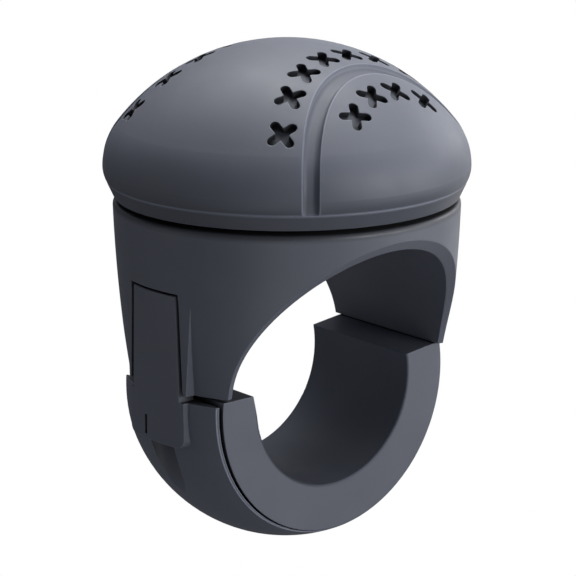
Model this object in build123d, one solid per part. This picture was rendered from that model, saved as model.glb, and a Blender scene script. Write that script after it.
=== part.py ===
from build123d import *
import math
import os

# Steering wheel spinner knob.
# A domed cap spins on a small ball bearing above a round clamp body. The body's arch and a hinged lower
# jaw close around the rim of a steering wheel, and a sprung strap on the jaw latches into the body.
# Origin: centre of the jaw's bore. +Z up to the dome, Y along the bore, latch at -X, hinge at +X.

# Knob dome
dome_radius = 26.0
dome_shoulder_share = 0.3642
dome_widest_z = 30.9
dome_wall = 2.8
dome_edge_z = 29.0
dome_edge_inset = 0.5

# Baseball seams of the dome: plan arcs about a point outside the dome
seam_count = 2
seam_direction_deg = -80.0
seam_centre_share = 1.527
seam_plan_radius = 27.0
groove_width = 2.3
groove_depth = 0.8
groove_fillet = 0.7
inner_stitch_radius = 31.1
inner_stitch_count = 8
outer_stitch_radius = 22.5
outer_stitch_count = 4
stitch_pitch = 5.12
stitch_length = 4.75
stitch_width = 1.35
stitch_depth = 1.15
stitch_turn_deg = 43.0

# Knob base
base_bottom_z = 26.75
base_bottom_inset = 1.5
base_hole_radius = 6.6
rim_upstand_wall = 1.7
rim_upstand_top_z = 32.0
rim_gap = 0.2
rim_edge_height = 0.3
snap_z = 30.8
snap_height = 0.35
snap_half_length = 0.5
snap_gap = 0.1
rib_count = 6
rib_width = 1.6
rib_top_z = 31.6
key_count = 3
key_width = 3.0
key_gap = 0.2

# Ball bearing
bearing_bore_radius = 3.0
bearing_radius = 9.5
bearing_width = 6.0
ball_count = 7
ball_radius = 1.74
race_radius = 1.8
ball_circle_radius = 6.25
race_depth = 0.55
shield_thickness = 0.3
shield_setback = 0.15
shield_gap = 0.25
shield_rebate = 0.28
cage_half_width = 0.65
cage_pocket_gap = 0.12
cage_ring = 0.45
cage_finger_share = 0.3
housing_wall = 2.7
housing_lip = 1.1
housing_lip_height = 1.0
circlip_thickness = 1.0
circlip_height = 1.3
circlip_seat = 0.5
circlip_opening = 4.0
circlip_gap = 0.1
circlip_ear_radius = 0.9
circlip_ear_offset = 0.7
circlip_ear_hole = 0.4
housing_above_circlip = 0.8

# Spindle
bolt_radius = 2.95
bolt_head_radius = 5.25
bolt_head_height = 3.1
bolt_socket_flats = 4.0
bolt_socket_depth = 2.0
bolt_face_radius = 2.9
bolt_shoulder_radius = 4.6
bolt_shoulder_height = 0.8
bolt_rim_height = 0.3
bolt_end_chamfer = 0.5
thread_gap = 0.05
washer_gap = 0.1
head_washer_radius = 5.4
head_washer_thickness = 1.0
spacer_radius = 4.3
spacer_thickness = 0.6
top_washer_radius = 5.0
top_washer_thickness = 1.0
nut_flats = 10.0
nut_height = 4.6
nut_collar_height = 1.4
nut_collar_radius = 4.5
nut_bevel = 0.8
nut_bevel_height = 0.5
nut_seat_bevel = 0.4
nut_insert_radius = 3.9
nut_insert_gap = 0.02
nut_insert_below = 0.6
nut_lip = 0.2
bolt_past_nut = 0.6
bolt_end_clearance = 2.2

# Clamp body
body_top_z = 26.0
body_top_inset = 1.35
body_middle_z = 14.0
body_middle_radius = 24.0
body_bottom_inset = 1.35
body_top_fillet = 0.6
boss_radius = 6.0
boss_top_z = 29.2
arch_wall = 5.1
arch_centre_z = 3.5
arch_edge_chamfer = 1.5
latch_leg_z = 2.3
hinge_leg_z = 3.5
leg_corner_radius = 0.7
bolt_hole_gap = 0.15
head_recess_gap = 0.4

# Clamp jaw
jaw_lip = 0.55
jaw_shift = -0.3
jaw_length = 21.0
bore_radius = 13.9
latch_horn_z = 1.7
strap_top_z = 1.25
hinge_horn_z = 3.35
hinge_ledge_z = 2.65
jaw_edge_fillet = 0.35
bore_edge_fillet = 0.25
flare_start_z = -3.0

# Latch strap, pad and tab
slit_inset = 2.55
slit_width = 0.4
slit_inner_shift = 0.3
slit_inner_drop = 0.4
tab_proud = 0.1
tab_thickness = 2.4
tab_half_top = 4.73
tab_half_root = 5.3
tab_top_z = 16.25
tab_top_gap = 0.35
tab_gap_top = 0.55
tab_gap_root = 0.65
tab_back_gap = 0.3
tab_edge_fillet = 0.25
cheek_half_top = 7.45
cheek_half_bottom = 6.45
cheek_top_z = 17.2
pad_half_width = 6.0
pad_draft = 0.25
pad_bottom_z = -5.3
pad_corner_radius = 1.2
bead_z = 12.6
bead_height = 0.4
bead_below = 2.4
bead_above = 0.8
bead_gap = 0.25
bead_half_width = 3.4
scoop_radius = 2.9
scoop_depth = 2.3
scoop_end_z = -13.7
slot_y = 1.7
slot_width = 0.6
slot_height = 2.8
slot_z = -3.25
slot_depth = 1.6

# Hinge
hinge_inset = 1.65
hinge_z = 1.2
knuckle_radius = 1.95
knuckle_gap = 0.3
middle_knuckle_half = 1.95
outer_knuckle_end = 6.1
knuckle_end_gap = 0.2
pin_radius = 1.0
pin_gap = 0.03
pin_channel_gap = 0.15
pin_end_inset = 0.2
pin_end_chamfer = 0.15
web_inset = 0.45
web_width = 2.9
web_drop = 4.0
horn_round_radius = 2.1


# Sizes that follow from the ones above

dome_edge_radius = dome_radius - dome_edge_inset
seam_centre_distance = dome_radius * seam_centre_share
base_bottom_radius = dome_radius - base_bottom_inset
body_top_radius = dome_radius - body_top_inset
body_bottom_radius = body_middle_radius - body_bottom_inset
arch_radius = body_middle_radius - arch_wall
jaw_radius = body_bottom_radius + jaw_lip
slit_outer_radius = jaw_radius - slit_inset
slit_inner_radius = slit_outer_radius - slit_width
tab_outer_radius = body_middle_radius + tab_proud
hinge_x = body_bottom_radius - hinge_inset

bearing_bottom_z = boss_top_z + spacer_thickness
bearing_top_z = bearing_bottom_z + bearing_width
bearing_middle_z = bearing_bottom_z + bearing_width / 2
inner_ring_radius = ball_circle_radius - race_radius + race_depth
outer_ring_radius = ball_circle_radius + race_radius - race_depth
rebate_radius = outer_ring_radius + shield_rebate
housing_radius = bearing_radius + housing_wall
circlip_groove_radius = bearing_radius + circlip_seat
circlip_top_z = bearing_top_z + circlip_thickness
housing_top_z = circlip_top_z + housing_above_circlip

washer_top_z = bearing_top_z + top_washer_thickness
nut_top_z = washer_top_z + nut_height
collar_top_z = nut_top_z + nut_collar_height
bolt_end_z = collar_top_z + bolt_past_nut
arch_top_z = arch_centre_z + arch_radius
head_top_z = arch_top_z + bolt_head_height
recess_top_z = head_top_z + head_washer_thickness
jaw_half = jaw_length / 2
tab_inner_radius = tab_outer_radius - tab_thickness
recess_floor_radius = tab_inner_radius - tab_back_gap
far = 40.0
past = 1.0
overlap = 0.3


# Dome profile: a crown arc that runs into a shoulder arc

dome_top_z = bolt_end_z + bolt_end_clearance + dome_wall
dome_rise = dome_top_z - dome_widest_z
shoulder_radius = dome_radius * dome_shoulder_share
shoulder_x = dome_radius - shoulder_radius
dome_crown_radius = (shoulder_x**2 + dome_rise**2 - shoulder_radius**2) / (2 * (dome_rise - shoulder_radius))
crown_centre_z = dome_top_z - dome_crown_radius
shoulder_angle = math.atan2(dome_widest_z - crown_centre_z, shoulder_x)
dome_inner_radius = dome_radius - dome_wall
rim_upstand_radius = dome_inner_radius - rim_gap


# Helpers

def ring(r_in, r_out, z_low, z_high):
    return revolved([(r_in, z_low), (r_out, z_low), (r_out, z_high), (r_in, z_high)])


def revolved(points):
    outline = make_face(Plane.XZ * Polyline(*points, close=True))
    return revolve(outline, Axis.Z)


def rod_y(radius, y_low, y_high, x=0.0, z=0.0):
    middle = (y_low + y_high) / 2
    return Pos(x, middle, z) * Rot(90, 0, 0) * Cylinder(radius, y_high - y_low)


def block(x_low, x_high, y_low, y_high, z_low, z_high):
    size = (x_high - x_low, y_high - y_low, z_high - z_low)
    centre = ((x_low + x_high) / 2, (y_low + y_high) / 2, (z_low + z_high) / 2)
    return Pos(*centre) * Box(*size)


def on_arc(centre_x, centre_z, radius, angle):
    return (centre_x + radius * math.cos(angle), centre_z + radius * math.sin(angle))


# Dome

def dome_profile(inset):
    crown = dome_crown_radius - inset
    shoulder = shoulder_radius - inset
    top = (0, crown_centre_z + crown)
    join = on_arc(0, crown_centre_z, crown, shoulder_angle)
    widest = (shoulder_x + shoulder, dome_widest_z)
    crown_middle = on_arc(0, crown_centre_z, crown, (shoulder_angle + math.pi / 2) / 2)
    shoulder_middle = on_arc(shoulder_x, dome_widest_z, shoulder, shoulder_angle / 2)
    return [
        ThreePointArc(top, crown_middle, join),
        ThreePointArc(join, shoulder_middle, widest),
    ]


def dome_shell():
    outer = dome_profile(0)
    inner = dome_profile(dome_wall)
    lower_edge = TangentArc((dome_radius, dome_widest_z), (dome_edge_radius, dome_edge_z), tangent=(0, -1))
    edges = outer + [lower_edge]
    edges += [
        Line((dome_edge_radius, dome_edge_z), (dome_inner_radius, dome_edge_z)),
        Line((dome_inner_radius, dome_edge_z), (dome_inner_radius, dome_widest_z)),
    ]
    edges += inner
    edges += [Line((0, dome_top_z - dome_wall), (0, dome_top_z))]
    return revolve(make_face(Plane.XZ * Curve(edges)), Axis.Z)


def surface_point(radius, lift=0.0):
    crown_limit = (dome_crown_radius + lift) * math.cos(shoulder_angle)
    if radius <= crown_limit:
        return crown_centre_z + math.sqrt((dome_crown_radius + lift) ** 2 - radius**2)
    drop = max((shoulder_radius + lift) ** 2 - (radius - shoulder_x) ** 2, 0.0)
    return dome_widest_z + math.sqrt(drop)


def seam_plan_point(plan_radius, angle):
    along = seam_centre_distance - plan_radius * math.cos(angle)
    return (along, plan_radius * math.sin(angle))


def inset_dome(inset, bottom_z):
    radius = dome_radius - inset
    edges = dome_profile(inset) + [
        Line((radius, dome_widest_z), (radius, bottom_z)),
        Line((radius, bottom_z), (0, bottom_z)),
        Line((0, bottom_z), (0, dome_top_z - inset)),
    ]
    return revolve(make_face(Plane.XZ * Curve(edges)), Axis.Z)


def seam_groove():
    low = dome_edge_z - past
    high = dome_top_z + past
    half = groove_width / 2
    band = Pos(seam_centre_distance, 0, 0) * ring(seam_plan_radius - half, seam_plan_radius + half, low, high)
    skin = inset_dome(-past, low) - inset_dome(groove_depth, low - past)
    groove = band & skin & block(0, far, -far, far, low, high)
    floor = [edge for edge in groove.edges() if on_groove_floor(edge)]
    return fillet(floor, groove_fillet)


def on_groove_floor(edge):
    middle = edge @ 0.5
    radius = math.hypot(middle.X, middle.Y)
    if radius > dome_radius - groove_depth:
        return False
    on_floor = abs(middle.Z - surface_point(radius, -groove_depth)) < 0.05
    return on_floor and edge.length > dome_radius / 2


def stitch_pocket(plan_radius, angle):
    x, y = seam_plan_point(plan_radius, angle)
    radius = math.hypot(x, y)
    z = surface_point(radius)
    centre_x = 0.0
    centre_z = crown_centre_z
    if radius > dome_crown_radius * math.cos(shoulder_angle):
        centre_x = shoulder_x
        centre_z = dome_widest_z
    outward = radius - centre_x
    normal = Vector(x / radius * outward, y / radius * outward, z - centre_z).normalized()
    along = Vector(math.sin(angle), math.cos(angle), 0)
    along = (along - normal * along.dot(normal)).normalized()
    floor = Plane(Vector(x, y, z) - normal * stitch_depth, x_dir=along, z_dir=normal)
    strokes = Sketch() + [Rot(0, 0, turn) * SlotOverall(stitch_length, stitch_width) for turn in
                           (stitch_turn_deg, -stitch_turn_deg)]
    return extrude(floor * strokes, stitch_depth + past)


def seam_cuts():
    cuts = [seam_groove()]
    for plan_radius, count in (
        (inner_stitch_radius, inner_stitch_count),
        (outer_stitch_radius, outer_stitch_count),
    ):
        pitch = stitch_pitch / plan_radius
        for index in range(count):
            cuts.append(stitch_pocket(plan_radius, pitch * (index - (count - 1) / 2)))
    return cuts


def snap_groove():
    deep = dome_inner_radius + snap_height
    half = snap_half_length + snap_gap
    start = dome_inner_radius - overlap
    return revolved([(start, snap_z - half), (dome_inner_radius, snap_z - half), (deep, snap_z),
                     (dome_inner_radius, snap_z + half), (start, snap_z + half)])


def knob_dome():
    cuts = seam_cuts()
    turned = []
    for index in range(seam_count):
        turn = Rot(0, 0, seam_direction_deg + 360 / seam_count * index)
        turned += [turn * cut for cut in cuts]
    dome = dome_shell() - snap_groove() - turned
    keys = []
    for index in range(key_count):
        key = block(rim_upstand_radius - rim_upstand_wall, dome_inner_radius + snap_height + overlap,
                    -key_width / 2, key_width / 2, dome_edge_z, rim_upstand_top_z)
        keys.append(Rot(0, 0, 360 / key_count * index) * key)
    return dome + keys


def knob_base():
    bead = rim_upstand_radius + snap_height
    upstand_in = rim_upstand_radius - rim_upstand_wall
    lip_radius = bearing_radius - housing_lip
    base = revolved([
        (base_hole_radius, base_bottom_z),
        (base_bottom_radius, base_bottom_z),
        (dome_edge_radius - snap_gap, dome_edge_z - rim_edge_height),
        (dome_edge_radius - snap_gap, dome_edge_z),
        (rim_upstand_radius, dome_edge_z),
        (rim_upstand_radius, snap_z - snap_half_length),
        (bead, snap_z),
        (rim_upstand_radius, snap_z + snap_half_length),
        (rim_upstand_radius, rim_upstand_top_z),
        (upstand_in, rim_upstand_top_z),
        (upstand_in, dome_edge_z),
        (housing_radius, dome_edge_z),
        (housing_radius, housing_top_z),
        (bearing_radius, housing_top_z),
        (bearing_radius, circlip_top_z + circlip_gap),
        (circlip_groove_radius, circlip_top_z + circlip_gap),
        (circlip_groove_radius, bearing_top_z),
        (bearing_radius, bearing_top_z),
        (bearing_radius, bearing_bottom_z),
        (lip_radius, bearing_bottom_z),
        (lip_radius, bearing_bottom_z - housing_lip_height),
        (base_hole_radius, bearing_bottom_z - housing_lip_height),
    ])
    for index in range(rib_count):
        rib = block(housing_radius - overlap, upstand_in + overlap, -rib_width / 2, rib_width / 2,
                    dome_edge_z, rib_top_z)
        base += Rot(0, 0, 360 / rib_count * (index + 0.5)) * rib
    for index in range(key_count):
        half = key_width / 2 + key_gap
        notch = block(upstand_in - overlap, rim_upstand_radius + past, -half, half,
                      dome_edge_z, rim_upstand_top_z + past)
        base -= Rot(0, 0, 360 / key_count * index) * notch
    return base


# Bearing

def race_groove():
    return Pos(0, 0, bearing_middle_z) * Torus(ball_circle_radius, race_radius)


def bearing_outer_ring():
    outer = ring(outer_ring_radius, bearing_radius, bearing_bottom_z, bearing_top_z)
    depth = shield_setback + shield_thickness
    outer -= ring(outer_ring_radius - past, rebate_radius, bearing_bottom_z - past, bearing_bottom_z + depth)
    outer -= ring(outer_ring_radius - past, rebate_radius, bearing_top_z - depth, bearing_top_z + past)
    return outer - race_groove()


def bearing_inner_ring():
    return ring(bearing_bore_radius, inner_ring_radius, bearing_bottom_z, bearing_top_z) - race_groove()


def ball_places():
    return [
        Rot(0, 0, 360 / ball_count * index) * Pos(ball_circle_radius, 0, bearing_middle_z)
        for index in range(ball_count)
    ]


def bearing_balls():
    return Compound([place * Sphere(ball_radius) for place in ball_places()])


def bearing_cage():
    pocket_radius = ball_radius + cage_pocket_gap
    top = bearing_middle_z + pocket_radius + cage_ring
    cage = ring(ball_circle_radius - cage_half_width, ball_circle_radius + cage_half_width,
                bearing_middle_z - ball_radius * cage_finger_share, top)
    for place in ball_places():
        cage -= place * Sphere(pocket_radius)
    return cage


def bearing_shield(z_low):
    return ring(inner_ring_radius + shield_gap, rebate_radius, z_low, z_low + shield_thickness)


def bearing_circlip():
    inner = circlip_groove_radius - circlip_height
    clip = ring(inner, circlip_groove_radius, bearing_top_z, circlip_top_z)
    clip -= block(0, far, -circlip_opening / 2, circlip_opening / 2, bearing_top_z - past, circlip_top_z + past)
    for side in (-1, 1):
        place = Pos(bearing_radius - circlip_height, side * (circlip_opening / 2 + circlip_ear_offset),
                    bearing_top_z + circlip_thickness / 2)
        clip = clip + place * Cylinder(circlip_ear_radius, circlip_thickness)
        clip -= place * Cylinder(circlip_ear_hole, circlip_thickness + past)
    return clip


# Spindle

def spindle_bolt():
    head = revolved([(0, arch_top_z), (bolt_face_radius, arch_top_z),
                     (bolt_shoulder_radius, arch_top_z + bolt_shoulder_height),
                     (bolt_head_radius, head_top_z - bolt_rim_height), (bolt_head_radius, head_top_z), (0, head_top_z)])
    shank = ring(0, bolt_radius, head_top_z, bolt_end_z)
    shank = chamfer(shank.edges().sort_by(Axis.Z)[-1], bolt_end_chamfer)
    socket = hexagon(bolt_socket_flats, arch_top_z, bolt_socket_depth)
    return head + shank - socket


def hexagon(flats, z_low, height):
    return extrude(Plane.XY.offset(z_low) * RegularPolygon(flats / 2, 6, major_radius=False), height)


def spindle_nut():
    corner = nut_flats / 2 / math.cos(math.pi / 6)
    envelope = revolved([(0, washer_top_z), (corner - nut_seat_bevel, washer_top_z),
                         (corner, washer_top_z + nut_seat_bevel), (corner, nut_top_z - nut_bevel_height),
                         (corner - nut_bevel, nut_top_z), (0, nut_top_z)])
    nut = hexagon(nut_flats, washer_top_z, nut_height) & envelope
    nut += ring(0, nut_collar_radius, nut_top_z, collar_top_z)
    nut -= ring(0, bolt_radius + thread_gap, washer_top_z - past, collar_top_z + past)
    return nut - ring(0, nut_insert_radius, nut_top_z - nut_insert_below, collar_top_z - nut_lip)


def nut_insert():
    return ring(bolt_radius + nut_insert_gap, nut_insert_radius - nut_insert_gap,
                nut_top_z - nut_insert_below, collar_top_z - nut_lip)


# Clamp body

def body_blank():
    bottom_z = min(latch_leg_z, hinge_leg_z) - 0.5
    side = ThreePointArc((body_bottom_radius, bottom_z), (body_middle_radius, body_middle_z),
                         (body_top_radius, body_top_z))
    edges = [
        Line((0, bottom_z), (body_bottom_radius, bottom_z)),
        side,
        Line((body_top_radius, body_top_z), (0, body_top_z)),
        Line((0, body_top_z), (0, bottom_z)),
    ]
    blank = revolve(make_face(Plane.XZ * Curve(edges)), Axis.Z)
    return fillet(blank.edges().sort_by(Axis.Z)[-1], body_top_fillet)


def arch_tunnel():
    return rod_y(arch_radius, -far, far, z=arch_centre_z) + block(
        -arch_radius, arch_radius, -far, far, -far, arch_centre_z)


def latch_outline(half_low, half_high, z_low, z_high):
    points = [(-half_low, z_low), (half_low, z_low), (half_high, z_high), (-half_high, z_high)]
    return extrude(make_face(Plane.YZ * Polyline(*points, close=True)), far, dir=(-1, 0, 0))


def latch_recess():
    low = latch_leg_z - past
    high = tab_top_z + tab_top_gap
    window = latch_outline(tab_half_root + tab_gap_root, tab_half_top + tab_gap_top, low, high)
    return window & ring(recess_floor_radius, far, low, high)


def latch_cheeks():
    wall = latch_outline(cheek_half_bottom, cheek_half_top, latch_leg_z, cheek_top_z)
    return wall & ring(arch_radius + past, tab_outer_radius, latch_leg_z, cheek_top_z)


def latch_bead(inner_radius, height, gap):
    low = bead_z - bead_below - gap
    high = bead_z + bead_above + gap
    root = inner_radius + overlap
    bump = revolved([(root, low), (inner_radius, low), (inner_radius - height, bead_z), (inner_radius, high),
                     (root, high)])
    half = bead_half_width + gap
    return bump & block(-far, 0, -half, half, -far, far)


def is_cheek_corner(edge):
    middle = edge @ 0.5
    side = abs(middle.Y) - tab_half_root - tab_gap_root
    low = abs(middle.Z - latch_leg_z) < 0.01
    return low and abs(side) < 0.05 and middle.X < -recess_floor_radius * 0.9


def body_knuckles():
    knuckles = []
    for side in (-1, 1):
        near = side * (middle_knuckle_half + knuckle_end_gap)
        end = side * outer_knuckle_end
        y_low = min(near, end)
        y_high = max(near, end)
        barrel = rod_y(knuckle_radius, y_low, y_high, hinge_x, hinge_z)
        web_x = arch_radius + web_inset
        web = block(web_x, web_x + web_width, y_low, y_high, hinge_z, hinge_leg_z + past)
        knuckles += [barrel, web]
    return knuckles


def pin_hole():
    y_high = outer_knuckle_end + knuckle_end_gap
    return rod_y(pin_radius + pin_gap, -outer_knuckle_end + pin_end_inset, y_high, hinge_x, hinge_z)


def clamp_body():
    body = body_blank() - arch_tunnel()
    body = chamfer([edge for edge in body.edges() if is_arch_rim(edge)], arch_edge_chamfer)
    body -= block(-far, 0, -far, far, -far, latch_leg_z)
    body -= block(0, far, -far, far, -far, hinge_leg_z)
    body += latch_cheeks()
    body -= latch_recess()
    body = fillet([edge for edge in body.edges() if is_cheek_corner(edge)], leg_corner_radius)
    body -= latch_bead(recess_floor_radius, bead_height + bead_gap / 2, bead_gap)
    body += body_knuckles()
    body -= pin_hole()
    body += ring(0, boss_radius, body_top_z - past, boss_top_z)
    body -= ring(0, bolt_radius + bolt_hole_gap, 0, boss_top_z + past)
    body -= ring(0, head_washer_radius + head_recess_gap, 0, recess_top_z)
    return body


def is_arch_rim(edge):
    middle = edge @ 0.5
    distance = math.hypot(middle.X, middle.Z - arch_centre_z)
    on_arch = abs(distance - arch_radius) < 0.05 and middle.Z > arch_centre_z
    on_leg = abs(abs(middle.X) - arch_radius) < 0.05 and middle.Z <= arch_centre_z + 0.05
    across = abs((edge % 0.5).Y) > 0.99
    return (on_arch or on_leg) and abs(middle.Y) > 5 and edge.length > 0.3 and not across


# Clamp jaw

def jaw_ball():
    return Pos(jaw_shift, 0, 0) * Sphere(jaw_radius)


def jaw_blank():
    jaw = jaw_ball() & block(-far, far, -jaw_half, jaw_half, -far, far)
    jaw -= rod_y(bore_radius, -far, far)
    jaw -= block(-far, 0, -far, far, latch_horn_z, far)
    jaw -= block(0, far, -far, far, hinge_horn_z, far)
    rim_radius = math.sqrt(jaw_radius**2 - jaw_half**2)
    outer = [edge for edge in jaw.edges() if is_face_rim(edge, rim_radius, jaw_shift)]
    jaw = fillet(outer, jaw_edge_fillet)
    inner = [edge for edge in jaw.edges() if is_face_rim(edge, bore_radius, 0)]
    return fillet(inner, bore_edge_fillet) - [hinge_ledge(), latch_flare(), strap_step()]


def is_face_rim(edge, radius, centre_x):
    ends = (edge @ 0.3, edge @ 0.7)
    at_face = abs(abs(ends[0].Y) - jaw_half) < 0.01 and abs(ends[0].Y - ends[1].Y) < 0.01
    return at_face and all(abs(math.hypot(end.X - centre_x, end.Z) - radius) < 0.01 for end in ends)


def hinge_ledge():
    low_x = math.sqrt(bore_radius**2 - hinge_ledge_z**2)
    points = [(0, hinge_ledge_z), (low_x, hinge_ledge_z), (arch_radius, hinge_horn_z),
              (arch_radius, far), (0, far)]
    return extrude(make_face(Plane.XZ * Polyline(*points, close=True)), far, both=True)


def latch_flare():
    start_x = -math.sqrt(bore_radius**2 - flare_start_z**2)
    lean = -flare_start_z / start_x
    top_x = start_x + lean * (far - flare_start_z)
    points = [(start_x, flare_start_z), (top_x, far), (0, far), (0, flare_start_z)]
    return extrude(make_face(Plane.XZ * Polyline(*points, close=True)), far, both=True)


def strap_step():
    return block(-far, 0, -far, far, strap_top_z, far) - rod_y(slit_outer_radius, -2 * far, 2 * far)


def strap_slit():
    outer = rod_y(slit_outer_radius, -far, far)
    inner = rod_y(slit_inner_radius, -2 * far, 2 * far, slit_inner_shift, -slit_inner_drop)
    return (outer - inner) & block(-far, -past, -far, far, -far, latch_horn_z + past)


def latch_tab():
    root_z = strap_top_z - overlap
    tab = ring(tab_inner_radius, tab_outer_radius, root_z, tab_top_z)
    tab &= latch_outline(tab_half_root, tab_half_top, root_z, tab_top_z)
    tab = fillet([edge for edge in tab.edges() if is_tab_edge(edge)], tab_edge_fillet)
    return tab + latch_bead(tab_inner_radius, bead_height, 0)


def is_tab_edge(edge):
    middle = edge @ 0.5
    outside = math.hypot(middle.X, middle.Y) > tab_outer_radius - 0.02
    return outside and middle.Z > strap_top_z


def latch_pad():
    height = 2 * (strap_top_z - pad_bottom_z)
    outline = RectangleRounded(2 * pad_half_width, height, pad_corner_radius)
    outer = Plane.YZ.offset(-tab_outer_radius) * Pos(0, strap_top_z) * outline
    grown = RectangleRounded(2 * (pad_half_width + pad_draft), height, pad_corner_radius)
    inner = Plane.YZ.offset(-slit_outer_radius + past) * Pos(0, strap_top_z) * grown
    pad = loft([inner, outer]) & ring(0, tab_outer_radius, -far, strap_top_z)
    return pad - rod_y(slit_outer_radius, -far, far)


def tool_scoop():
    start_x = jaw_edge_x(pad_bottom_z) + scoop_depth
    end_x = jaw_edge_x(scoop_end_z)
    run = math.hypot(end_x - start_x, scoop_end_z - pad_bottom_z)
    lean = math.degrees(math.atan2(end_x - start_x, pad_bottom_z - scoop_end_z))
    cutter = Pos(-scoop_radius, 0, -run / 2) * Cylinder(scoop_radius, run + 2 * past)
    cutter = Pos(start_x, 0, pad_bottom_z) * Rot(0, -lean, 0) * cutter
    return cutter & block(-far, 0, -far, far, -far, pad_bottom_z)


def jaw_edge_x(z):
    return jaw_shift - math.sqrt(jaw_radius**2 - z**2)


def pad_slot():
    reach = math.sqrt(tab_outer_radius**2 - slot_y**2)
    return block(-far, -reach + slot_depth, slot_y - slot_width / 2, slot_y + slot_width / 2,
                 slot_z - slot_height / 2, slot_z + slot_height / 2)


def hinge_pocket():
    half = outer_knuckle_end + knuckle_end_gap
    clear = knuckle_radius + knuckle_gap
    pocket = rod_y(clear, -half, half, hinge_x, hinge_z)
    pocket += block(arch_radius + web_inset - knuckle_gap, far, -half, half, hinge_z, far)
    return pocket


def jaw_knuckle():
    half = middle_knuckle_half
    web = block(arch_radius - past, hinge_x + past, -half, half, hinge_z - web_drop, hinge_z)
    web &= jaw_ball()
    return rod_y(knuckle_radius, -half, half, hinge_x, hinge_z) + web


def horn_rounding():
    corner = block(hinge_x, far, -far, far, hinge_z, far)
    return corner - rod_y(horn_round_radius, -2 * far, 2 * far, hinge_x, hinge_z)


def pin_channel():
    return rod_y(pin_radius + pin_channel_gap, outer_knuckle_end, jaw_half + past, hinge_x, hinge_z)


def clamp_jaw():
    jaw = jaw_blank() - strap_slit()
    jaw += [latch_pad(), latch_tab()]
    jaw -= [tool_scoop(), pad_slot(), horn_rounding()]
    jaw -= hinge_pocket()
    jaw += jaw_knuckle()
    return jaw - pin_hole() - pin_channel()


def hinge_pin():
    y_low = -outer_knuckle_end + pin_end_inset
    y_high = outer_knuckle_end
    return chamfer(rod_y(pin_radius, y_low, y_high, hinge_x, hinge_z).edges().filter_by(GeomType.CIRCLE), pin_end_chamfer)


parts = {
    "knob_dome": knob_dome(),
    "knob_base": knob_base(),
    "bearing_outer_ring": bearing_outer_ring(),
    "bearing_inner_ring": bearing_inner_ring(),
    "bearing_balls": bearing_balls(),
    "bearing_cage": bearing_cage(),
    "bearing_lower_shield": bearing_shield(bearing_bottom_z + shield_setback),
    "bearing_upper_shield": bearing_shield(bearing_top_z - shield_setback - shield_thickness),
    "bearing_circlip": bearing_circlip(),
    "spindle_bolt": spindle_bolt(),
    "head_washer": ring(bolt_radius + washer_gap, head_washer_radius, head_top_z, recess_top_z),
    "spindle_spacer": ring(bolt_radius + washer_gap, spacer_radius, boss_top_z, bearing_bottom_z),
    "top_washer": ring(bolt_radius + washer_gap, top_washer_radius, bearing_top_z, washer_top_z),
    "spindle_nut": spindle_nut(),
    "nut_insert": nut_insert(),
    "clamp_body": clamp_body(),
    "clamp_jaw": clamp_jaw(),
    "hinge_pin": hinge_pin(),
}

os.makedirs("parts", exist_ok=True)
for name, shape in parts.items():
    export_step(shape, f"parts/{name}.step")
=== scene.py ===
import bpy
import math
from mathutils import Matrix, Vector

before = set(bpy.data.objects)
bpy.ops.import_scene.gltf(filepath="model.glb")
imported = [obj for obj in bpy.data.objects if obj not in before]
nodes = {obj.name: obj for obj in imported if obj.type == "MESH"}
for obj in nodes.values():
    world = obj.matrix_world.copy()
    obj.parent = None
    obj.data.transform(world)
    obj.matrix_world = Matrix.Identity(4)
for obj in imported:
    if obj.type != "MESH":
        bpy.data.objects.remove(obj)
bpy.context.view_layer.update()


# Places on the knob where its plastics get painted highlight and painted shade, in metres

parting_z = 0.029
seam_centre = (0.0069, -0.0391, 0.0)
opposite_seam_centre = tuple(-value for value in seam_centre)
seam_radius = 0.027
groove_half_width = 0.0012
rim_shade_z = 0.0249
bore_radius = 0.0141
ledge_top_z = 0.005
jaw_centre = (-0.0003, 0.0, 0.0)
jaw_skin_radius = 0.02305
scoop_half_width = 0.0029
scoop_near_x = -0.0146
scoop_top_z = -0.0054
strap_inner_radius = 0.0165
strap_top_z = 0.001
pad_half_width = 0.0065

in_plan = (1.0, 1.0, 0.0)
across_bore = (1.0, 0.0, 1.0)
all_round = (1.0, 1.0, 1.0)


# Materials

def scaled(colour, factor):
    return tuple(channel * factor for channel in colour)


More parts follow.
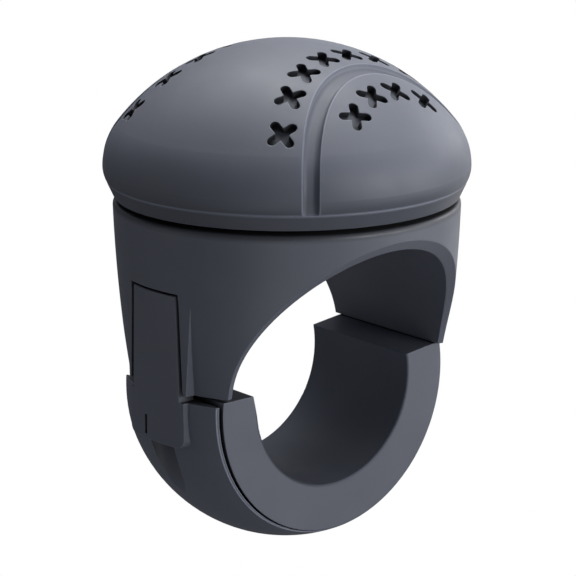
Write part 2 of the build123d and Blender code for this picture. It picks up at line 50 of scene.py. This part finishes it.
class Shader:
    """A principled material with helpers to add its procedural detail."""

    def __init__(self, name):
        self.material = bpy.data.materials.new(name)
        self.material.use_nodes = True
        self.tree = self.material.node_tree
        self.principled = self.tree.nodes["Principled BSDF"]
        self.coords = self.tree.nodes.new("ShaderNodeTexCoord").outputs["Object"]

    def node(self, kind, **sockets):
        made = self.tree.nodes.new(kind)
        for name, value in sockets.items():
            made.inputs[name.replace("_", " ")].default_value = value
        return made

    def link(self, source, target):
        self.tree.links.new(source, target)

    def noise(self, scale, detail=4.0, roughness=0.55):
        noise = self.node("ShaderNodeTexNoise", Scale=scale, Detail=detail, Roughness=roughness)
        self.link(self.coords, noise.inputs["Vector"])
        return noise.outputs["Fac"]

    def span(self, value, low, high, from_low=0.0, from_high=1.0):
        ranged = self.node("ShaderNodeMapRange", From_Min=from_low, From_Max=from_high, To_Min=low, To_Max=high)
        self.link(value, ranged.inputs["Value"])
        return ranged.outputs["Result"]

    def math(self, operation, first, second):
        made = self.tree.nodes.new("ShaderNodeMath")
        made.operation = operation
        for index, value in enumerate((first, second)):
            if isinstance(value, (int, float)):
                made.inputs[index].default_value = value
            else:
                self.link(value, made.inputs[index])
        return made.outputs[0]

    def times(self, first, *others):
        for other in others:
            first = self.math("MULTIPLY", first, other)
        return first

    def either(self, first, second):
        return self.math("MAXIMUM", first, second)

    def size_of(self, value):
        return self.math("ABSOLUTE", value, 0.0)

    def reverse(self, value):
        return self.math("SUBTRACT", 1.0, value)

    def below(self, value, limit, blur):
        """1 under a limit, fading to 0 over the blur past it."""
        return self.span(value, 1.0, 0.0, limit, limit + blur)

    def above(self, value, limit, blur):
        """0 under a limit, rising to 1 over the blur past it."""
        return self.span(value, 0.0, 1.0, limit, limit + blur)

    def along(self, axis):
        """The object's own X, Y or Z at each point."""
        split = self.tree.nodes.new("ShaderNodeSeparateXYZ")
        self.link(self.coords, split.inputs[0])
        return split.outputs[axis]

    def facing(self, axis):
        """How far the surface faces along X, Y or Z, from -1 to 1."""
        split = self.tree.nodes.new("ShaderNodeSeparateXYZ")
        self.link(self.tree.nodes.new("ShaderNodeTexCoord").outputs["Normal"], split.inputs[0])
        return split.outputs[axis]

    def distance_from(self, centre, axes):
        """Distance from a point, measured only along the axes marked with 1."""
        flat = self.tree.nodes.new("ShaderNodeVectorMath")
        flat.operation = "MULTIPLY"
        self.link(self.coords, flat.inputs[0])
        flat.inputs[1].default_value = axes
        gap = self.tree.nodes.new("ShaderNodeVectorMath")
        gap.operation = "DISTANCE"
        self.link(flat.outputs["Vector"], gap.inputs[0])
        gap.inputs[1].default_value = centre
        return gap.outputs["Value"]

    def near(self, value, target, inner, outer):
        """1 where a value is close to a target, 0 where it is far from it."""
        return self.span(self.size_of(self.math("SUBTRACT", value, target)), 1.0, 0.0, inner, outer)

    def softened_edges(self, radius):
        """The normal with every edge rounded, and how much of an edge each point is."""
        bevel = self.node("ShaderNodeBevel", Radius=radius)
        bevel.samples = 6
        flat = self.tree.nodes.new("ShaderNodeNewGeometry").outputs["Normal"]
        aligned = self.tree.nodes.new("ShaderNodeVectorMath")
        aligned.operation = "DOT_PRODUCT"
        self.link(bevel.outputs["Normal"], aligned.inputs[0])
        self.link(flat, aligned.inputs[1])
        return bevel.outputs["Normal"], self.span(aligned.outputs["Value"], 1.0, 0.0, 0.75, 0.98)

    def openness(self, distance):
        """How open the surroundings of each point are, from 0 deep in a gap to 1."""
        occlusion = self.node("ShaderNodeAmbientOcclusion", Distance=distance)
        occlusion.samples = 12
        return occlusion.outputs["AO"]

    def mix(self, amount, first, second):
        """A colour between two colours, each a socket or three numbers."""
        mixed = self.node("ShaderNodeMix")
        mixed.data_type = "RGBA"
        self.link(amount, mixed.inputs[0])
        for index, colour in ((6, first), (7, second)):
            if isinstance(colour, tuple):
                mixed.inputs[index].default_value = (*colour, 1.0)
            else:
                self.link(colour, mixed.inputs[index])
        return mixed.outputs[2]

    def bump(self, layers, normal=None):
        """Bumps laid over each other, each a height, a strength and a distance."""
        for height, strength, distance in layers:
            bump = self.node("ShaderNodeBump", Strength=strength, Distance=distance)
            self.link(height, bump.inputs["Height"])
            if normal:
                self.link(normal, bump.inputs["Normal"])
            normal = bump.outputs["Normal"]
        self.link(normal, self.principled.inputs["Normal"])


def moulded_plastic(name, dark, light, roughness, marks=None):
    """Moulded plastic: cloudy colour, a fine grain, edges lightened as rubbed wear and painted highlight, and
    painted shade in its gaps.
    """
    shader = Shader(name)
    normal, edge = shader.softened_edges(0.00022)
    # Painted shade: near black where the surroundings close in, as in gaps and slits.
    deep = shader.span(shader.openness(0.001), 1.0, 0.0, 0.3, 0.68)
    shade = painted_highlight = shine = None
    if marks:
        deep, shade, painted_highlight, shine = marks(shader, deep)

    cloud = shader.span(shader.noise(60.0, 3.0), 0.0, 1.0, 0.35, 0.65)
    colour = shader.mix(cloud, dark, light)
    # Painted shade from the marks.
    if shade:
        colour = shader.mix(shade, colour, scaled(dark, 0.45))
    # Edges lighter: part rubbed wear, part painted highlight where edges would catch the lamps.
    rubbed_wear_and_highlight = shader.span(shader.noise(420.0, 4.0), 0.25, 0.8, 0.35, 0.65)
    colour = shader.mix(shader.times(edge, rubbed_wear_and_highlight, shader.reverse(deep)), colour, scaled(light, 2.3))
    # Painted highlight lines from the marks.
    if painted_highlight:
        colour = shader.mix(painted_highlight, colour, scaled(light, 3.6))
    # Painted shade in gaps and pockets.
    colour = shader.mix(deep, colour, scaled(dark, 0.06))
    shader.link(colour, shader.principled.inputs["Base Color"])

    gloss = shader.span(shader.noise(240.0, 5.0), roughness - 0.05, roughness + 0.05, 0.3, 0.7)
    rough = shader.math("ADD", gloss, shader.times(deep, 0.3))
    shader.link(rough, shader.principled.inputs["Roughness"])
    if shine:
        shader.link(shine, shader.principled.inputs["Specular IOR Level"])
    fine_grain = (shader.noise(2600.0, 2.0), 0.12, 0.00006)
    broad_waves = (shader.noise(35.0, 2.0), 0.05, 0.0004)
    shader.bump([fine_grain, broad_waves], normal)
    return shader.material


def knob_marks(shader, deep):
    """The knob's painted shade in its pockets and on its underside, and painted highlight lines along the
    grooves and the parting.
    """
    height = shader.along("Z")
    from_seam = shader.math(
        "MINIMUM",
        shader.distance_from(seam_centre, in_plan),
        shader.distance_from(opposite_seam_centre, in_plan),
    )
    beside_groove = shader.reverse(shader.near(from_seam, seam_radius, 0.00125, 0.0016))
    # Painted shade in the cross pockets, kept off the groove.
    pocket = shader.times(shader.span(shader.openness(0.0024), 0.93, 0.0, 0.38, 0.8), beside_groove)
    parting = shader.near(height, parting_z, 0.0001, 0.0002)
    deep = shader.times(shader.either(deep, pocket), shader.reverse(parting))
    # Painted shade on surfaces that face downwards.
    shade = shader.times(shader.span(shader.facing("Z"), 1.0, 0.0, -0.55, 0.3), 0.75)

    across_groove = shader.size_of(shader.math("SUBTRACT", from_seam, seam_radius))
    groove_edge = shader.near(across_groove, groove_half_width, 0.00006, 0.00014)
    groove_edge = shader.times(groove_edge, shader.above(height, parting_z, 0.0002))
    # Painted highlight along the parting and along the groove edges.
    painted_highlight_lines = shader.either(shader.times(parting, 0.24), shader.times(groove_edge, 0.2))
    return deep, shade, painted_highlight_lines, None


def clamp_marks(shader, deep):
    """The clamp's painted shade in its gaps, painted shadow under the knob's rim, painted shade in the scoop
    and on the latch side of the bore and its ledges, the painted highlight on the edge of the strap, and the
    duller bore and ledges."""
    height = shader.along("Z")
    latch_side = shader.span(shader.along("X"), 1.0, 0.0, -0.008, 0.002)
    # Painted shade in the clamp's gaps.
    gap = shader.span(shader.openness(0.0028), 1.0, 0.0, 0.22, 0.56)
    from_bore = shader.distance_from((0.0, 0.0, 0.0), across_bore)
    bore = shader.below(from_bore, bore_radius, 0.0002)
    ledge = shader.times(shader.above(shader.facing("Z"), 0.8, 0.1), shader.below(height, ledge_top_z, 0.001))

    # Painted shade in the scoop, darkest at its top under the pad.
    scoop = shader.times(
        shader.below(shader.distance_from(jaw_centre, all_round), jaw_skin_radius, 0.0001),
        shader.near(shader.along("Y"), 0.0, scoop_half_width, scoop_half_width + 0.0002),
        shader.below(shader.along("X"), scoop_near_x, 0.0002),
        shader.below(height, scoop_top_z, 0.0002),
        shader.span(height, 0.1, 1.0, -0.013, -0.007),
    )
    # Painted shadow under the knob's rim.
    shade = shader.times(shader.above(height, rim_shade_z, 0.0007), 0.9)
    # Painted shade on the latch side of the bore and on its ledges.
    latch_bore = shader.times(bore, latch_side)
    latch_ledge = shader.times(ledge, latch_side)
    for place, amount in ((latch_bore, 0.85), (latch_ledge, 0.85), (scoop, 1.0)):
        shade = shader.either(shade, shader.times(place, amount))

    # Painted highlight along the rounded edge of the strap.
    strap_edge = shader.times(
        shader.near(shader.size_of(shader.facing("Y")), 0.68, 0.12, 0.2),
        latch_side,
        shader.above(from_bore, strap_inner_radius, 0.0005),
        shader.reverse(shader.near(shader.along("Y"), 0.0, pad_half_width, pad_half_width + 0.0005)),
        shader.below(height, strap_top_z, 0.0005),
        0.75,
    )
    shine = shader.span(shader.either(bore, ledge), 0.5, 0.04)
    return shader.either(deep, gap), shade, strap_edge, shine


def metal(name, colour, roughness, grain):
    """Bare metal with a fine grain in its gloss and its surface."""
    shader = Shader(name)
    shader.principled.inputs["Base Color"].default_value = (*colour, 1.0)
    shader.principled.inputs["Metallic"].default_value = 1.0
    rough = shader.span(shader.noise(grain, 6.0), roughness - 0.06, roughness + 0.08, 0.3, 0.7)
    shader.link(rough, shader.principled.inputs["Roughness"])
    shader.bump([(shader.noise(grain * 4, 3.0), 0.08, 0.00003)])
    return shader.material


knob_plastic = moulded_plastic(
    "knob_plastic_look", (0.11, 0.12, 0.151), (0.121, 0.132, 0.166), 0.54, knob_marks
)
clamp_plastic = moulded_plastic(
    "clamp_plastic_look", (0.104, 0.112, 0.141), (0.114, 0.123, 0.155), 0.47, clamp_marks
)
cage_nylon = moulded_plastic("cage_nylon_look", (0.55, 0.53, 0.46), (0.62, 0.6, 0.53), 0.5)
insert_nylon = moulded_plastic("insert_nylon_look", (0.03, 0.08, 0.3), (0.04, 0.1, 0.34), 0.4)
bearing_steel = metal("bearing_steel_look", (0.6, 0.6, 0.61), 0.2, 400.0)
ball_steel = metal("ball_steel_look", (0.68, 0.68, 0.7), 0.12, 300.0)
shield_steel = metal("shield_steel_look", (0.52, 0.52, 0.53), 0.3, 500.0)
spring_steel = metal("spring_steel_look", (0.09, 0.09, 0.1), 0.35, 500.0)
zinc_steel = metal("zinc_steel_look", (0.62, 0.64, 0.67), 0.32, 350.0)
pin_steel = metal("pin_steel_look", (0.56, 0.56, 0.58), 0.25, 450.0)

looks = {
    "knob_dome": knob_plastic,
    "knob_base": knob_plastic,
    "bearing_outer_ring": bearing_steel,
    "bearing_inner_ring": bearing_steel,
    "bearing_balls": ball_steel,
    "bearing_cage": cage_nylon,
    "bearing_lower_shield": shield_steel,
    "bearing_upper_shield": shield_steel,
    "bearing_circlip": spring_steel,
    "spindle_bolt": zinc_steel,
    "head_washer": zinc_steel,
    "spindle_spacer": zinc_steel,
    "top_washer": zinc_steel,
    "spindle_nut": zinc_steel,
    "nut_insert": insert_nylon,
    "clamp_body": clamp_plastic,
    "clamp_jaw": clamp_plastic,
    "hinge_pin": pin_steel,
}
for name, look in looks.items():
    nodes[name].data.materials.clear()
    nodes[name].data.materials.append(look)


# Camera

def look_along(obj, target):
    """Turn a camera or a lamp towards a point."""
    direction = Vector(target) - obj.location
    obj.rotation_mode = "QUATERNION"
    obj.rotation_quaternion = direction.to_track_quat("-Z", "Y")


camera_turn = math.radians(39.5)
camera_rise = math.radians(14.4)
camera_target = (0.0, 0.0, 0.0132)
camera_distance = 0.391
picture_pixels = 576
camera = bpy.data.objects.new("camera", bpy.data.cameras.new("camera"))
camera.location = (
    camera_target[0] - camera_distance * math.sin(camera_turn) * math.cos(camera_rise),
    camera_target[1] - camera_distance * math.cos(camera_turn) * math.cos(camera_rise),
    camera_target[2] + camera_distance * math.sin(camera_rise),
)
look_along(camera, camera_target)
camera.data.sensor_width = 36.0
camera.data.lens = 171.25
camera.data.shift_x = 1.1 / picture_pixels
camera.data.shift_y = -3.8 / picture_pixels
camera.data.clip_start = 0.01
camera.data.clip_end = 20.0
bpy.context.scene.collection.objects.link(camera)
bpy.context.scene.camera = camera


# Lights

light_distance = 0.4


def seen_from_camera(turn, rise, distance):
    """A place at an angle right of the camera and above the level, round the middle of the knob."""
    angle = camera_turn - math.radians(turn)
    lift = math.radians(rise)
    return (
        camera_target[0] - distance * math.sin(angle) * math.cos(lift),
        camera_target[1] - distance * math.cos(angle) * math.cos(lift),
        camera_target[2] + distance * math.sin(lift),
    )


def soft_light(name, turn, rise, size, power):
    """A square lamp at an angle right of the camera and above the level, aimed at the knob."""
    data = bpy.data.lights.new(name, "AREA")
    data.shape = "SQUARE"
    data.size = size
    data.energy = power
    light = bpy.data.objects.new(name, data)
    light.location = seen_from_camera(turn, rise, light_distance)
    light.visible_camera = False
    look_along(light, camera_target)
    bpy.context.scene.collection.objects.link(light)


soft_light("back_top", 180, 70, 0.22, 0.95)
soft_light("left_top", -140, 50, 0.18, 0.26)
soft_light("right_top", 90, 70, 0.22, 0.62)
soft_light("right", 80, 5, 0.22, 0.54)
soft_light("right_rear", 130, 20, 0.12, 0.26)
soft_light("left_fill", -80, 5, 0.22, 0.08)
soft_light("low_front", 0, -25, 0.22, 0.17)
soft_light("low_rear", 150, -30, 0.22, 0.09)
soft_light("bore_axis", 50, 12, 0.12, 0.54)

world = bpy.data.worlds.new("studio")
bpy.context.scene.world = world
world.use_nodes = True
sky = world.node_tree
ambient = sky.nodes["Background"]
ambient.inputs["Color"].default_value = (0.8, 0.84, 0.95, 1.0)
ambient.inputs["Strength"].default_value = 0.12
white = sky.nodes.new("ShaderNodeBackground")
white.inputs["Color"].default_value = (1.0, 1.0, 1.0, 1.0)
white.inputs["Strength"].default_value = 1.0


def sky_math(operation, first, second):
    made = sky.nodes.new("ShaderNodeMath")
    made.operation = operation
    for index, value in enumerate((first, second)):
        if isinstance(value, (int, float)):
            made.inputs[index].default_value = value
        else:
            sky.links.new(value, made.inputs[index])
    return made.outputs[0]


# The white backdrop, with a black flag on the left that only the gloss sees
flag = sky.nodes.new("ShaderNodeVectorMath")
flag.operation = "DOT_PRODUCT"
sky.links.new(sky.nodes.new("ShaderNodeTexCoord").outputs["Generated"], flag.inputs[0])
flag.inputs[1].default_value = Vector(seen_from_camera(130, 25, 1.0)).normalized()
unflagged = sky.nodes.new("ShaderNodeMapRange")
unflagged.interpolation_type = "SMOOTHSTEP"
unflagged.inputs["From Min"].default_value = 0.35
unflagged.inputs["From Max"].default_value = 0.95
sky.links.new(flag.outputs["Value"], unflagged.inputs["Value"])
ray = sky.nodes.new("ShaderNodeLightPath")
direct = sky_math("MAXIMUM", ray.outputs["Is Camera Ray"], ray.outputs["Is Transmission Ray"])
glossy = sky_math("MULTIPLY", ray.outputs["Is Glossy Ray"], unflagged.outputs["Result"])
backdrop = sky.nodes.new("ShaderNodeMixShader")
sky.links.new(sky_math("MAXIMUM", direct, glossy), backdrop.inputs[0])
sky.links.new(ambient.outputs[0], backdrop.inputs[1])
sky.links.new(white.outputs[0], backdrop.inputs[2])
sky.links.new(backdrop.outputs[0], sky.nodes["World Output"].inputs["Surface"])


# Floor, well below the hanging knob

floor_z = -0.5
floor_half = 6.0
floor_corners = [
    (-floor_half, -floor_half, floor_z),
    (floor_half, -floor_half, floor_z),
    (floor_half, floor_half, floor_z),
    (-floor_half, floor_half, floor_z),
]
floor_mesh = bpy.data.meshes.new("floor")
floor_mesh.from_pydata(floor_corners, [], [(0, 1, 2, 3)])
floor = bpy.data.objects.new("floor", floor_mesh)
floor.visible_glossy = False
bpy.context.scene.collection.objects.link(floor)
pale = Shader("floor_look")
pale.principled.inputs["Roughness"].default_value = 0.8
pale.principled.inputs["Specular IOR Level"].default_value = 0.1
pale_colour = pale.mix(pale.noise(3.0), (0.76, 0.76, 0.77), (0.8, 0.8, 0.8))
pale.link(pale_colour, pale.principled.inputs["Base Color"])
floor_ray = pale.tree.nodes.new("ShaderNodeLightPath")
seen = pale.math("MAXIMUM", floor_ray.outputs["Is Camera Ray"], floor_ray.outputs["Is Transmission Ray"])
glow = pale.tree.nodes.new("ShaderNodeEmission")
glow.inputs["Color"].default_value = (1.0, 1.0, 1.0, 1.0)
# The white glow dims where the knob hangs overhead: a painted shadow.
pale.link(pale.span(pale.openness(0.5), 0.4, 1.0, 0.5, 0.95), glow.inputs["Strength"])
whitened = pale.tree.nodes.new("ShaderNodeMixShader")
pale.link(seen, whitened.inputs[0])
pale.link(pale.principled.outputs[0], whitened.inputs[1])
pale.link(glow.outputs[0], whitened.inputs[2])
pale.link(whitened.outputs[0], pale.tree.nodes["Material Output"].inputs["Surface"])
floor_mesh.materials.append(pale.material)

bpy.context.scene.view_settings.view_transform = "Standard"
